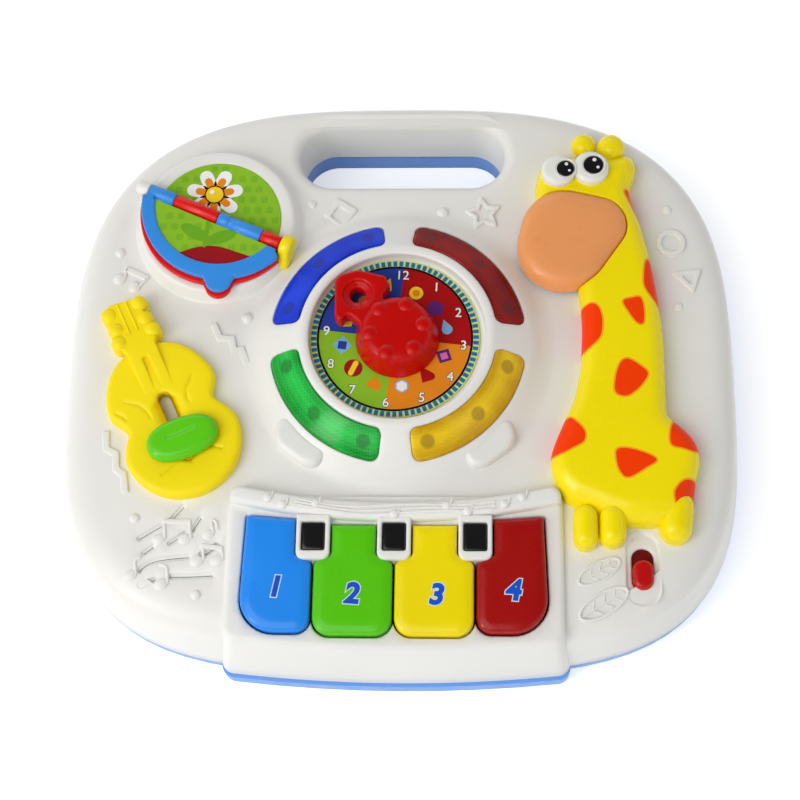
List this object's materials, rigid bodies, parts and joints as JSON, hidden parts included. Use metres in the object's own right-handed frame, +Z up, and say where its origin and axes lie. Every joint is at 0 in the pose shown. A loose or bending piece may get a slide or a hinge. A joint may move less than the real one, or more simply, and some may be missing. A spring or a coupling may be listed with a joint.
{
  "type": "musical activity table",
  "caption": "Play table top with a turning clock dial, light-up lenses, page flaps, a guitar slider, a giraffe with a push snout, a small piano and a carrying handle.",
  "frame": {"origin": "on the floor, at the middle of the whole outline", "axes": "+X to the right of the player at the piano, +Y from the piano to the handle, +Z up"},
  "size_m": [0.37, 0.333, 0.0802],
  "materials": {
    "white_shell": "smooth moulded",
    "sky_shell": "smooth moulded",
    "steel": "zinc plated",
    "board": "solder mask",
    "dark_parts": "moulded",
    "cell_jacket": "shrink film",
    "lamp": "clear moulded",
    "dial_print": "laminated print",
    "lens_blue": "translucent, ribbed inside",
    "lens_red": "translucent, ribbed inside",
    "lens_amber": "translucent, ribbed inside",
    "lens_green": "translucent, ribbed inside",
    "red_plastic": "glossy moulded",
    "book_print": "laminated print",
    "blue_plastic": "glossy moulded",
    "page_red": "glossy moulded",
    "yellow_plastic": "glossy moulded",
    "green_plastic": "glossy moulded",
    "eye_white": "glossy moulded",
    "peach_plastic": "glossy moulded",
    "rubber": "moulded",
    "key_blue": "glossy moulded",
    "key_green": "glossy moulded",
    "key_yellow": "glossy moulded",
    "key_red": "glossy moulded",
    "black_plastic": "glossy moulded",
    "switch_red": "glossy moulded",
    "wire_jacket": "stranded lead"
  },
  "bodies": {
    "casing": {"bottom_casing": "sky_shell", "top_casing": "white_shell", "battery_door": "sky_shell", "door_screw": "steel", "battery_cells": "cell_jacket", "battery_contacts": "steel", "casing_screws": "steel", "board_screws": "steel", "main_board": "board", "board_parts": "dark_parts", "lamp_board": "board", "lamps": "lamp", "dial_plate": "dial_print", "lens_blue": "lens_blue", "lens_red": "lens_red", "lens_amber": "lens_amber", "lens_green": "lens_green", "book_plate": "book_print", "hinge_rod": "steel", "hinge_bracket": "yellow_plastic", "guitar_body": "yellow_plastic", "slider_board": "board", "giraffe_body": "yellow_plastic", "giraffe_eyes": "eye_white", "snout_board": "board", "snout_pad": "rubber", "key_axle": "steel", "black_keys": "black_plastic", "key_board": "board", "key_pads": "rubber", "power_switch": "dark_parts", "speaker": "dark_parts", "wiring": "wire_jacket"},
    "dial": {"dial_knob": "red_plastic", "dial_wiper": "dark_parts", "dial_screw": "steel"},
    "key_1_body": {"key_1": "key_blue"},
    "key_2_body": {"key_2": "key_green"},
    "key_3_body": {"key_3": "key_yellow"},
    "key_4_body": {"key_4": "key_red"},
    "page_red": {"page_red_frame": "page_red", "page_red_card": "book_print"},
    "page_blue": {"page_blue_frame": "blue_plastic", "page_blue_card": "book_print"},
    "slider": {"guitar_slider": "green_plastic", "slider_clip": "white_shell", "slider_screw": "steel"},
    "power_button": {"power_slide": "switch_red"},
    "snout": {"giraffe_snout": "peach_plastic", "snout_clip": "dark_parts"}
  },
  "joints": [
    {"name": "dial_turn", "type": "hinge", "parent": "casing", "child": "dial", "pos_m": [0, 0.011, 0.07], "axis": [0, 0, 1], "continuous": true},
    {"name": "key_1_press", "type": "hinge", "parent": "casing", "child": "key_1_body", "pos_m": [0, -0.0845, 0.049], "axis": [1, 0, 0], "range_deg": [0, 3.4], "stiffness_Nm_per_rad": 0.3, "springref_deg": -5.73},
    {"name": "key_2_press", "type": "hinge", "parent": "casing", "child": "key_2_body", "pos_m": [0, -0.0845, 0.049], "axis": [1, 0, 0], "range_deg": [0, 3.4], "stiffness_Nm_per_rad": 0.3, "springref_deg": -5.73},
    {"name": "key_3_press", "type": "hinge", "parent": "casing", "child": "key_3_body", "pos_m": [0, -0.0845, 0.049], "axis": [1, 0, 0], "range_deg": [0, 3.4], "stiffness_Nm_per_rad": 0.3, "springref_deg": -5.73},
    {"name": "key_4_press", "type": "hinge", "parent": "casing", "child": "key_4_body", "pos_m": [0, -0.0845, 0.049], "axis": [1, 0, 0], "range_deg": [0, 3.4], "stiffness_Nm_per_rad": 0.3, "springref_deg": -5.73},
    {"name": "red_page_turn", "type": "hinge", "parent": "casing", "child": "page_red", "pos_m": [-0.101, 0.083, 0.06385], "axis": [-0.9135, 0.4067, 0], "range_deg": [0, 180]},
    {"name": "blue_page_turn", "type": "hinge", "parent": "page_red", "child": "page_blue", "pos_m": [-0.101, 0.083, 0.06385], "axis": [-0.9135, 0.4067, 0], "range_deg": [0, 180]},
    {"name": "slider_slide", "type": "slide", "parent": "casing", "child": "slider", "axis": [-0.4352, 0.9003, 0], "range_m": [-0.0067, 0.0268]},
    {"name": "power_slide_move", "type": "slide", "parent": "casing", "child": "power_button", "axis": [0, 1, 0], "range_m": [0, 0.005]},
    {"name": "snout_press", "type": "slide", "parent": "casing", "child": "snout", "axis": [0, 0, -1], "range_m": [0, 0.0025], "stiffness_N_per_m": 500, "springref_m": -0.003}
  ]
}
